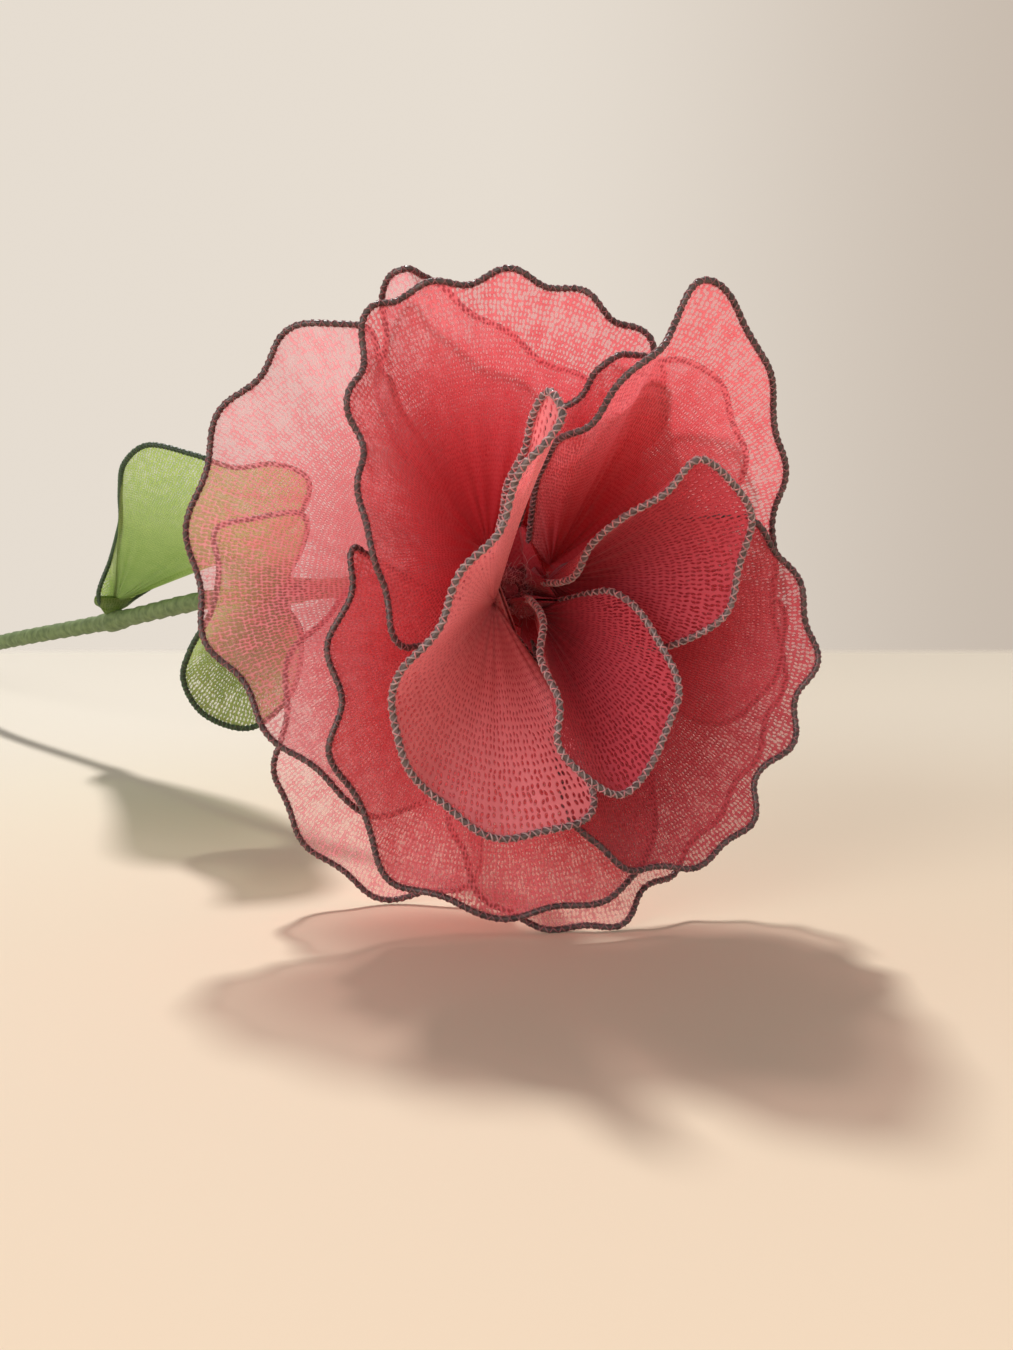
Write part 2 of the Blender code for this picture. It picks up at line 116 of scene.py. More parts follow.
# Looks of the knit, all one nylon. Its colours are set lighter for the front petal as painted light, and
# darker for the inner and lower petals as painted shade. Thread and deep are its raised and sunken colours,
# hole and edge a hole's radius and its soft edge in stitches, haze and cover the least and most that it
# hides, glow the share of light that comes through, paling how much darker closed knit is (partly for its
# denser stitches and partly as painted shade, or how much lighter where it is negative, as painted light),
# stitches the count to a unit, slim how a hole is narrowed across and along, and leak the tint of the light
# where it hides most.
redLeak = (0.16, 0.0, 0.0)
knitLooks = {
    "litFrontKnit": {
        "thread": (0.98, 0.37, 0.40), "deep": (0.72, 0.050, 0.085), "hole": 0.36, "edge": 0.10, "haze": 0.0,
        "cover": 1.0, "glow": 0.30, "paling": -0.3, "stitches": 0.76, "slim": (1.30, 0.95), "leak": redLeak},
    "shadedInnerKnit": {
        "thread": (0.74, 0.11, 0.15), "deep": (0.50, 0.022, 0.050), "hole": 0.33, "edge": 0.12, "haze": 0.0,
        "cover": 1.0, "glow": 0.40, "paling": 0.4, "stitches": 0.9, "slim": (1.40, 0.90), "leak": redLeak},
    "shadedLowerKnit": {
        "thread": (0.70, 0.14, 0.17), "deep": (0.54, 0.018, 0.042), "hole": 0.34, "edge": 0.19, "haze": 0.42,
        "cover": 0.96, "glow": 0.40, "paling": 0.7, "stitches": 1.2, "slim": (1.25, 1.05), "leak": redLeak},
    "middleKnit": {
        "thread": (0.88, 0.29, 0.32), "deep": (0.78, 0.038, 0.070), "hole": 0.385, "edge": 0.19, "haze": 0.31,
        "cover": 0.90, "glow": 0.52, "paling": 0.75, "stitches": 1.15, "slim": (1.25, 1.05), "leak": redLeak},
    "outerKnit": {
        "thread": (0.90, 0.42, 0.46), "deep": (0.80, 0.110, 0.150), "hole": 0.45, "edge": 0.22, "haze": 0.26,
        "cover": 0.73, "glow": 0.52, "paling": 0.6, "stitches": 1.15, "slim": (1.25, 1.05), "leak": redLeak},
    "leafKnit": {
        "thread": (0.50, 0.60, 0.22), "deep": (0.17, 0.32, 0.050), "hole": 0.32, "edge": 0.20, "haze": 0.20,
        "cover": 0.86, "glow": 0.62, "paling": 0.3, "stitches": 1.0, "slim": (1.40, 0.90),
        "leak": (0.05, 0.10, 0.0)},
}
weave = {
    "randomness": 0.40,
    "lean": 0.40,
    "sizeWaves": 0.35,
    "leastSize": 0.35,
    "sizeChange": 1.3,
    "raisedFrom": 0.12,
    "raisedTo": 0.62,
    "raisedShade": 0.75,
    "mottleShade": 0.45,
    "mottle": 420.0,
    "mostHoles": 0.9,
    "relief": 0.12 * mm,
    "reliefStrength": 0.5,
    "roughness": 0.62,
    "sheen": 0.25,
    "sheenRoughness": 0.5,
    "specular": 0.3,
}


def knitMaterial(name, look):
    material, tree = newMaterial(name)
    stitches = put(tree, "ShaderNodeUVMap", uv_map="knit").outputs[0]
    place = put(tree, "ShaderNodeTexCoord").outputs["Object"]
    wander = put(tree, "ShaderNodeTexNoise", {
        "Vector": stitches, "Scale": weave["sizeWaves"], "Detail": 2.0}, noise_dimensions="2D")
    cells = put(tree, "ShaderNodeTexVoronoi", {
        "Vector": stitches, "Scale": look["stitches"], "Randomness": weave["randomness"]},
        voronoi_dimensions="2D")
    fromCell = put(tree, "ShaderNodeVectorMath", {0: stitches, 1: cells.outputs["Position"]},
                   operation="SUBTRACT")
    local = put(tree, "ShaderNodeSeparateXYZ", {0: fromCell.outputs[0]}).outputs

    # A hole is long and narrow, and leans to and fro from one course to the next
    course = put(tree, "ShaderNodeSeparateXYZ", {0: cells.outputs["Position"]}).outputs["Y"]
    toAndFro = calc(tree, "SINE", calc(tree, "MULTIPLY", course, math.pi * look["stitches"]))
    lean = calc(tree, "MULTIPLY", toAndFro, weave["lean"])
    across = calc(tree, "MULTIPLY", calc(tree, "MULTIPLY_ADD", local["Y"], lean, local["X"]), look["slim"][0])
    along = calc(tree, "MULTIPLY", local["Y"], look["slim"][1])
    inHole = put(tree, "ShaderNodeCombineXYZ", {"X": across, "Y": along}).outputs[0]
    fromMiddle = put(tree, "ShaderNodeVectorMath", {0: inHole}, operation="LENGTH").outputs[1]

    # Holes open with the knit, and their edges are soft
    openness = put(tree, "ShaderNodeAttribute", attribute_name="openness").outputs["Fac"]
    uneven = calc(tree, "MULTIPLY_ADD", wander.outputs["Fac"], weave["sizeChange"], weave["leastSize"])
    radius = calc(tree, "MULTIPLY", calc(tree, "MULTIPLY", openness, uneven), look["hole"])
    thread = put(tree, "ShaderNodeMapRange", {
        "Value": fromMiddle, "To Min": look["haze"], "To Max": look["cover"],
        "From Min": calc(tree, "SUBTRACT", radius, look["edge"]),
        "From Max": calc(tree, "ADD", radius, look["edge"])}, interpolation_type="SMOOTHSTEP").outputs[0]

    # Colour runs from the sunken middles to the raised threads, as painted shade and light on the stitches,
    # with random mottle in its tone. Paling then darkens closed knit, partly for its denser stitches and
    # partly as painted shade, or lightens it where negative, as painted light.
    mottle = put(tree, "ShaderNodeTexNoise", {"Vector": place, "Scale": weave["mottle"], "Detail": 3.0})
    mottled = calc(tree, "MULTIPLY", mottle.outputs["Fac"], weave["mottleShade"])
    raised = put(tree, "ShaderNodeMapRange", {
        "Value": fromMiddle, "From Min": weave["raisedFrom"], "From Max": weave["raisedTo"]})
    lit = calc(tree, "MULTIPLY_ADD", raised.outputs[0], weave["raisedShade"], mottled)
    pale = calc(tree, "MULTIPLY_ADD", openness, look["paling"], 1 - look["paling"])
    shade = calc(tree, "MULTIPLY", lit, pale)
    colour = put(tree, "ShaderNodeMix", {"Factor": shade, 6: (*look["deep"], 1), 7: (*look["thread"], 1)},
                 data_type="RGBA", clamp_factor=True).outputs[2]
    bump = put(tree, "ShaderNodeBump", {
        "Height": raised.outputs[0], "Strength": weave["reliefStrength"], "Distance": weave["relief"]})
    solid = put(tree, "ShaderNodeBsdfPrincipled", {
        "Base Color": colour, "Roughness": weave["roughness"], "Sheen Weight": weave["sheen"],
        "Sheen Roughness": weave["sheenRoughness"], "Specular IOR Level": weave["specular"],
        "Normal": bump.outputs[0]})
    through = put(tree, "ShaderNodeBsdfTranslucent", {"Color": colour, "Normal": bump.outputs[0]})
    nylon = put(tree, "ShaderNodeMixShader", {0: look["glow"], 1: solid.outputs[0], 2: through.outputs[0]})
    clear = put(tree, "ShaderNodeBsdfTransparent")
    mesh = put(tree, "ShaderNodeMixShader", {0: thread, 1: clear.outputs[0], 2: nylon.outputs[0]})

    # Shadows see the knit's mean cover, with the tint of light that comes through nylon
    holeShare = math.pi * (look["hole"] * look["stitches"]) ** 2 / (look["slim"][0] * look["slim"][1])
    opened = calc(tree, "MULTIPLY", calc(tree, "MULTIPLY", openness, openness), holeShare)
    holes = calc(tree, "MINIMUM", opened, weave["mostHoles"])
    atThread, atHole = (1 - look["cover"]) ** 2, (1 - look["haze"]) ** 2
    passed = calc(tree, "SQRT", calc(tree, "MULTIPLY_ADD", holes, atHole - atThread, atThread))
    tinted = put(tree, "ShaderNodeMix", {"Factor": passed, 6: (*look["leak"], 1), 7: (1, 1, 1, 1)},
                 data_type="RGBA").outputs[2]
    veil = put(tree, "ShaderNodeBsdfTransparent", {"Color": tinted})
    isShadow = put(tree, "ShaderNodeLightPath").outputs["Is Shadow Ray"]
    surface = put(tree, "ShaderNodeMixShader", {0: isShadow, 1: mesh.outputs[0], 2: veil.outputs[0]})
    put(tree, "ShaderNodeOutputMaterial", {0: surface.outputs[0]})
    return material


grainLook = {"detail": 4.0, "darkBelow": 0.3, "lightAbove": 0.7, "strength": 0.5}


def solidMaterial(name, dark, light, roughness, grain, depth, metallic=0.0):
    material, tree = newMaterial(name)
    place = put(tree, "ShaderNodeTexCoord").outputs["Object"]
    noise = put(tree, "ShaderNodeTexNoise", {
        "Vector": place, "Scale": grain, "Detail": grainLook["detail"]}).outputs["Fac"]
    share = put(tree, "ShaderNodeMapRange", {
        "Value": noise, "From Min": grainLook["darkBelow"], "From Max": grainLook["lightAbove"]}).outputs[0]
    colour = put(tree, "ShaderNodeMix", {"Factor": share, 6: (*dark, 1), 7: (*light, 1)},
                 data_type="RGBA").outputs[2]
    bump = put(tree, "ShaderNodeBump", {
        "Height": noise, "Strength": grainLook["strength"], "Distance": depth})
    solid = put(tree, "ShaderNodeBsdfPrincipled", {
        "Base Color": colour, "Roughness": roughness, "Metallic": metallic, "Normal": bump.outputs[0]})
    put(tree, "ShaderNodeOutputMaterial", {0: solid.outputs[0]})
    return material


# Looks of wires, threads and tape: dark and light colour, roughness, scale of the grain, its depth, and metal
solidLooks = {
    "darkWire": ((0.045, 0.030, 0.030), (0.14, 0.100, 0.095), 0.35, 900, 0.05 * mm, 0.2),
    "greyWire": ((0.085, 0.055, 0.053), (0.21, 0.155, 0.150), 0.35, 900, 0.05 * mm, 0.1),
    "greyWrap": ((0.30, 0.190, 0.19), (0.62, 0.430, 0.425), 0.6, 1100, 0.03 * mm),
    "mauveWrap": ((0.16, 0.06, 0.065), (0.38, 0.17, 0.18), 0.6, 1500, 0.03 * mm),
    "pinkPicot": ((0.50, 0.13, 0.14), (0.86, 0.36, 0.38), 0.6, 1100, 0.03 * mm),
    "mauvePicot": ((0.24, 0.075, 0.085), (0.46, 0.16, 0.175), 0.6, 1500, 0.03 * mm),
    "greenPicot": ((0.05, 0.10, 0.035), (0.12, 0.20, 0.07), 0.6, 1500, 0.03 * mm),
    # The gathered knit at the throat: red nylon, painted very dark as shade.
    "shadedThroatKnit": ((0.16, 0.006, 0.014), (0.34, 0.026, 0.045), 0.8, 1600, 0.15 * mm),
    "greenWire": ((0.014, 0.028, 0.014), (0.03, 0.06, 0.03), 0.45, 900, 0.05 * mm),
    "greenWrap": ((0.035, 0.075, 0.03), (0.075, 0.14, 0.055), 0.6, 1500, 0.03 * mm),
    "stemTape": ((0.075, 0.115, 0.035), (0.17, 0.23, 0.085), 0.7, 700, 0.15 * mm),
    "stemSteel": ((0.22, 0.22, 0.21), (0.42, 0.42, 0.40), 0.35, 2500, 0.02 * mm, 1.0),
    "tyingThread": ((0.20, 0.02, 0.03), (0.36, 0.06, 0.07), 0.7, 2500, 0.03 * mm),
}
materials = {name: knitMaterial(name, look) for name, look in knitLooks.items()}
materials |= {name: solidMaterial(name, *look) for name, look in solidLooks.items()}
print("materials made")


# A Geometry Nodes tree has named inputs, and its values go in by their sockets' identifiers
def newTree(name, inputs):
    tree = bpy.data.node_groups.new(name, "GeometryNodeTree")
    tree.interface.new_socket(name="Path", in_out="INPUT", socket_type="NodeSocketGeometry")
    for label, kind in inputs.items():
        tree.interface.new_socket(name=label, in_out="INPUT", socket_type="NodeSocket" + kind)
    tree.interface.new_socket(name="Piece", in_out="OUTPUT", socket_type="NodeSocketGeometry")
    return tree, put(tree, "NodeGroupInput").outputs


def finishTree(tree, geometry, settings):
    shape = put(tree, "GeometryNodeRealizeInstances", {0: geometry}).outputs[0]
    for material, chosen in settings:
        shape = put(tree, "GeometryNodeSetMaterial", {"Geometry": shape, "Material": material,
                                                      "Selection": chosen}).outputs[0]
    put(tree, "NodeGroupOutput", {0: shape})


def growPiece(name, lines, tree, values, thick=None):
    starts = np.cumsum([0] + [len(points) for points in lines])
    edges = [(i, i + 1) for first, last in zip(starts[:-1], starts[1:]) for i in range(first, last - 1)]
    line = bpy.data.meshes.new(name)
    line.from_pydata([tuple(point) for points in lines for point in points], edges, [])
    if thick is not None:
        line.attributes.new("thick", "FLOAT", "POINT").data.foreach_set("value", np.array(thick, np.float32))
    piece = bpy.data.objects.new(name, line)
    modifier = piece.modifiers.new("grow", "NODES")
    modifier.node_group = tree
    for socket in tree.interface.items_tree:
        if socket.in_out == "INPUT" and socket.name in values:
            modifier[socket.identifier] = values[socket.name]
    bpy.context.scene.collection.objects.link(piece)
    graph = bpy.context.evaluated_depsgraph_get()
    mesh = bpy.data.meshes.new_from_object(piece.evaluated_get(graph), preserve_all_data_layers=True,
                                           depsgraph=graph)
    mesh.name = name
    piece.modifiers.clear()
    piece.data = mesh
    return piece


# Strands wind round a path side by side, the other way round where the lay length is negative
winding = {"stepsPerTurn": 9.0, "unevenScale": 450.0, "unevenTurn": 3.5, "outShare": 0.35}


def woundStrands(tree, path, wireRadius, radius, lay, strands, name):
    step = calc(tree, "DIVIDE", calc(tree, "ABSOLUTE", lay), winding["stepsPerTurn"])
    fine = put(tree, "GeometryNodeResampleCurve", {"Curve": path, "Length": step}, mode="LENGTH").outputs[0]
    copies = put(tree, "GeometryNodeDuplicateElements", {"Geometry": fine, "Amount": strands},
                 domain="SPLINE")
    along = put(tree, "GeometryNodeSplineParameter").outputs["Length"]
    noise = put(tree, "ShaderNodeTexNoise", {"Scale": winding["unevenScale"]}).outputs[0]
    uneven = calc(tree, "MULTIPLY", noise, winding["unevenTurn"])
    turn = calc(tree, "MULTIPLY_ADD", calc(tree, "DIVIDE", along, lay), 2 * math.pi, uneven)
    lead = calc(tree, "MULTIPLY", calc(tree, "DIVIDE", copies.outputs[1], strands), 2 * math.pi)
    outward = put(tree, "ShaderNodeVectorRotate", {
        "Vector": put(tree, "GeometryNodeInputNormal").outputs[0],
        "Axis": put(tree, "GeometryNodeInputTangent").outputs[0],
        "Angle": calc(tree, "ADD", turn, lead)}, rotation_type="AXIS_ANGLE").outputs[0]
    reach = calc(tree, "ADD", wireRadius, calc(tree, "MULTIPLY", radius, winding["outShare"]))
    offset = put(tree, "ShaderNodeVectorMath", {0: outward, "Scale": reach}, operation="SCALE").outputs[0]
    wound = put(tree, "GeometryNodeSetPosition", {"Geometry": copies.outputs[0], "Offset": offset}).outputs[0]
    threadRound = put(tree, "GeometryNodeCurvePrimitiveCircle", {"Resolution": 4, "Radius": radius})
    thread = put(tree, "GeometryNodeCurveToMesh", {
        0: wound, 1: threadRound.outputs[0], "Fill Caps": True}).outputs[0]
    return put(tree, "GeometryNodeStoreNamedAttribute", {"Geometry": thread, "Name": name, "Value": True},
               data_type="BOOLEAN", domain="FACE").outputs[0]


# Wire wrapped with strands of thread, and picots of the knit between them
def makeWrapTree():
    tree, given = newTree("wrappedWire", {
        "Wire Radius": "Float", "Thread Radius": "Float", "Lay Length": "Float", "Strands": "Int",
        "Picot Radius": "Float", "Picot Lay": "Float", "Picots": "Int",
        "Wire Material": "Material", "Thread Material": "Material", "Picot Material": "Material"})
    path = put(tree, "GeometryNodeMeshToCurve", {0: given["Path"]}).outputs[0]
    wireRound = put(tree, "GeometryNodeCurvePrimitiveCircle", {
        "Resolution": 8, "Radius": given["Wire Radius"]}).outputs[0]
    wire = put(tree, "GeometryNodeCurveToMesh", {0: path, 1: wireRound, "Fill Caps": True}).outputs[0]
    wrap = woundStrands(tree, path, given["Wire Radius"], given["Thread Radius"], given["Lay Length"],
                        given["Strands"], "wound")
    picots = woundStrands(tree, path, given["Wire Radius"], given["Picot Radius"], given["Picot Lay"],
                          given["Picots"], "looped")
    whole = put(tree, "GeometryNodeJoinGeometry")
    for part in (wire, wrap, picots):
        tree.links.new(part, whole.inputs[0])
    isWrap, isPicot = (
        put(tree, "GeometryNodeInputNamedAttribute", {"Name": name}, data_type="BOOLEAN").outputs[0]
        for name in ("wound", "looped"))
    finishTree(tree, whole.outputs[0], [(given["Wire Material"], True), (given["Thread Material"], isWrap),
                                        (given["Picot Material"], isPicot)])
    return tree


# Crepe tape in spiral laps round the stem
def makeTapeTree():
    tree, given = newTree("lappedTape", {
        "Sides": "Int", "Station": "Float", "Lap Length": "Float", "Lap Height": "Float",
        "Lap Edge": "Float", "Crinkle": "Float", "Crinkle Scale": "Float", "Throat End": "Float",
        "Tape Material": "Material", "Throat Material": "Material"})
    line = put(tree, "GeometryNodeMeshToCurve", {0: given["Path"]}).outputs[0]
    thick = put(tree, "GeometryNodeInputNamedAttribute", {"Name": "thick"}, data_type="FLOAT").outputs[0]
    fine = put(tree, "GeometryNodeResampleCurve", {"Curve": line, "Length": given["Station"]}, mode="LENGTH")
    keepLength = put(tree, "GeometryNodeCaptureAttribute", {"Geometry": fine.outputs[0]})
    keepLength.capture_items.new("FLOAT", "along")
    tree.links.new(put(tree, "GeometryNodeSplineParameter").outputs["Length"], keepLength.inputs[1])
    ring = put(tree, "GeometryNodeCurvePrimitiveCircle", {"Resolution": given["Sides"], "Radius": 1.0})
    keepTurn = put(tree, "GeometryNodeCaptureAttribute", {"Geometry": ring.outputs[0]})
    keepTurn.capture_items.new("FLOAT", "turn")
    tree.links.new(put(tree, "GeometryNodeSplineParameter").outputs["Factor"], keepTurn.inputs[1])
    tube = put(tree, "GeometryNodeCurveToMesh", {
        0: keepLength.outputs[0], 1: keepTurn.outputs[0], "Scale": thick, "Fill Caps": True}).outputs[0]
    laps = calc(tree, "DIVIDE", keepLength.outputs[1], given["Lap Length"])
    lap = calc(tree, "FRACT", calc(tree, "ADD", laps, keepTurn.outputs[1]))
    edge = put(tree, "ShaderNodeMapRange", {
        "Value": lap, "From Min": 0.0, "From Max": given["Lap Edge"], "To Min": 1.0, "To Max": 0.0})
    slope = calc(tree, "MAXIMUM", edge.outputs[0], lap)
    crease = put(tree, "ShaderNodeTexNoise", {"Scale": given["Crinkle Scale"], "Detail": 3.0}).outputs[0]
    rise = calc(tree, "ADD", calc(tree, "MULTIPLY", calc(tree, "SUBTRACT", slope, 0.5), given["Lap Height"]),
                calc(tree, "MULTIPLY", calc(tree, "SUBTRACT", crease, 0.5), given["Crinkle"]))
    offset = put(tree, "ShaderNodeVectorMath", {
        0: put(tree, "GeometryNodeInputNormal").outputs[0], "Scale": rise}, operation="SCALE").outputs[0]
    shape = put(tree, "GeometryNodeSetPosition", {"Geometry": tube, "Offset": offset}).outputs[0]
    place = put(tree, "GeometryNodeInputPosition").outputs[0]
    depth = put(tree, "ShaderNodeSeparateXYZ", {0: place}).outputs["Y"]
    isThroat = put(tree, "FunctionNodeCompare", {0: depth, 1: given["Throat End"]},
                   operation="LESS_THAN").outputs[0]
    finishTree(tree, shape, [(given["Tape Material"], True), (given["Throat Material"], isThroat)])
    return tree


# Loose fibres: thin round threads along their lines
def makeFibreTree():
    tree, given = newTree("looseFibres", {"Fibre Radius": "Float", "Fibre Material": "Material"})
    path = put(tree, "GeometryNodeMeshToCurve", {0: given["Path"]}).outputs[0]
    ring = put(tree, "GeometryNodeCurvePrimitiveCircle", {"Resolution": 3, "Radius": given["Fibre Radius"]})
    fibres = put(tree, "GeometryNodeCurveToMesh", {0: path, 1: ring.outputs[0], "Fill Caps": True}).outputs[0]
    finishTree(tree, fibres, [(given["Fibre Material"], True)])
    return tree


wrapTree = makeWrapTree()
tapeTree = makeTapeTree()
fibreTree = makeFibreTree()
print("node trees made")


# Lines and loops
def unit(vectors):
    return vectors / np.maximum(np.linalg.norm(vectors, axis=-1, keepdims=True), 1e-12)


def smoothCurve(points, closed):
    points = np.array(points, float)
    count = len(points)
    curve = []
    for i in range(count if closed else count - 1):
        near = [(i + k) % count if closed else min(max(i + k, 0), count - 1) for k in (-1, 0, 1, 2)]
        before, start, end, after = points[near]
        d1 = max(np.linalg.norm(start - before), 1e-9) ** 0.5
        d2 = max(np.linalg.norm(end - start), 1e-9) ** 0.5
        d3 = max(np.linalg.norm(after - end), 1e-9) ** 0.5
        outSlope = end - start + d2 * ((start - before) / d1 - (end - before) / (d1 + d2))
        inSlope = end - start + d2 * ((after - end) / d3 - (after - start) / (d2 + d3))
        for t in np.arange(head["spanSteps"]) / head["spanSteps"]:
            curve.append((2 * t**3 - 3 * t**2 + 1) * start + (t**3 - 2 * t**2 + t) * outSlope
                         + (3 * t**2 - 2 * t**3) * end + (t**3 - t**2) * inSlope)
    if not closed:
        curve.append(points[-1])
    return np.array(curve)


def lengths(curve):
    return np.concatenate([[0], np.cumsum(np.linalg.norm(np.diff(curve, axis=0), axis=1))])


def spread(curve, shares):
    run = lengths(curve)
    return np.stack([np.interp(shares * run[-1], run, curve[:, k]) for k in range(3)], axis=1)


def bentLoop(foot, knots, steps, scallops):
    side = unit(unit(knots[0] - foot) - unit(knots[-1] - foot))
    points = [foot + side * head["footWidth"] / 2, *knots, foot - side * head["footWidth"] / 2]
    curve = smoothCurve(points, closed=True)[:(len(points) - 1) * head["spanSteps"] + 1]
    loop = spread(curve, np.linspace(0, 1, steps))
    count, phase, height = scallops
    tangent = unit(np.gradient(loop, axis=0))
    outward = loop - foot
    outward = unit(outward - tangent * (outward * tangent).sum(axis=1, keepdims=True))
    across = np.cross(tangent, outward)
    share = lengths(loop) / lengths(loop)[-1]
    fade = np.clip((np.minimum(share, 1 - share) - head["scallopStart"]) / head["scallopFade"], 0, 1)
    fade = fade * fade * (3 - 2 * fade)
    turn = 2 * math.pi * (count * share + phase)
    wave = (np.cos(turn) * fade * height)[:, None]
    ruffle = (np.sin(turn) * fade * height * head["scallopRuffle"])[:, None]
    return loop + outward * wave + across * ruffle


# Knit stretched over a loop
knit = {
    "columns": 150,
    "rows": 30,
    "rimCrowding": 1.45,
    "wale": 0.62 * mm,
    "course": 0.78 * mm,
    "thickness": 0.10 * mm,
    "tension": 0.30,
    "pleats": 17,
    "pleatDepth": 0.22 * mm,
    "pleatPeak": 0.26,
    "pleatWander": ((0.35, 3.1), (0.2, 7.3)),
    "pleatEnds": 8,
    "firstRow": 0.035,
    "widestBlur": 1 / 8,
    "stitchBlur": 1 / 40,
    "closedBelow": 0.22,
    "openOver": 0.62,
    "mostOpen": 1.1,
    "stretch": 1.25,
    "cutShare": 0.72,
}


def blurred(edge, width):
    if width < 0.05:
        return edge
    reach = int(math.ceil(3 * width))
    kernel = np.exp(-0.5 * (np.arange(-reach, reach + 1) / width) ** 2)
    before = 2 * edge[0] - edge[reach:0:-1]
    after = 2 * edge[-1] - edge[-2:-reach - 2:-1]
    padded = np.concatenate([before, edge, after])
    kernel = kernel / kernel.sum()
    return np.stack([np.convolve(padded[:, k], kernel, mode="valid") for k in range(3)], axis=1)


def sheetArea(grid):
    diagonals = grid[1:, 1:] - grid[:-1, :-1], grid[1:, :-1] - grid[:-1, 1:]
    return np.linalg.norm(np.cross(*diagonals), axis=2).sum() / 2


# Gathered end of a cover: a folded sleeve from the tied foot, round both legs of the loop, to the open fan
gather = {
    "stations": 10,
    "sides": 22,
    "from": 0.4 * mm,
    "to": 6.4 * mm,
    "thickAtFoot": 1.6 * mm,
    "thickAtEnd": 0.22 * mm,
    "marginAtEnds": 0.5,
    "marginBulge": 0.8,
    "folds": 6,
    "foldDepth": 0.16,
    "foldTwist": 1.5,
    "foldFade": 0.5,
}


def gatheredSleeve(loop, foot, margin):
    away = np.linalg.norm(loop - foot, axis=1)
    run = unit(loop[away > gather["to"]].mean(axis=0) - foot)
    rings = []
    for share in np.linspace(0, 1, gather["stations"]):
        distance = gather["from"] + (gather["to"] - gather["from"]) * share
        legs = loop[np.argmax(away > distance)], loop[len(loop) - 1 - np.argmax(away[::-1] > distance)]
        middle = (legs[0] + legs[1]) / 2
        wide = (legs[0] - legs[1]) / 2
        flat = unit(np.cross(wide, run))
        bulge = gather["marginAtEnds"] + gather["marginBulge"] * math.sin(math.pi * share)
        wide = wide + unit(wide) * margin * bulge
        thick = gather["thickAtFoot"] + (gather["thickAtEnd"] - gather["thickAtFoot"]) * share
        angles = np.linspace(0, 2 * math.pi, gather["sides"], endpoint=False)
        wave = np.sin(gather["folds"] * angles + gather["foldTwist"] * share)
        fold = 1 + gather["foldDepth"] * wave * (1 - gather["foldFade"] * share)
        rings.append(middle + (np.cos(angles) * fold)[:, None] * wide
                     + (np.sin(angles) * fold)[:, None] * flat * thick)
    return np.array(rings)


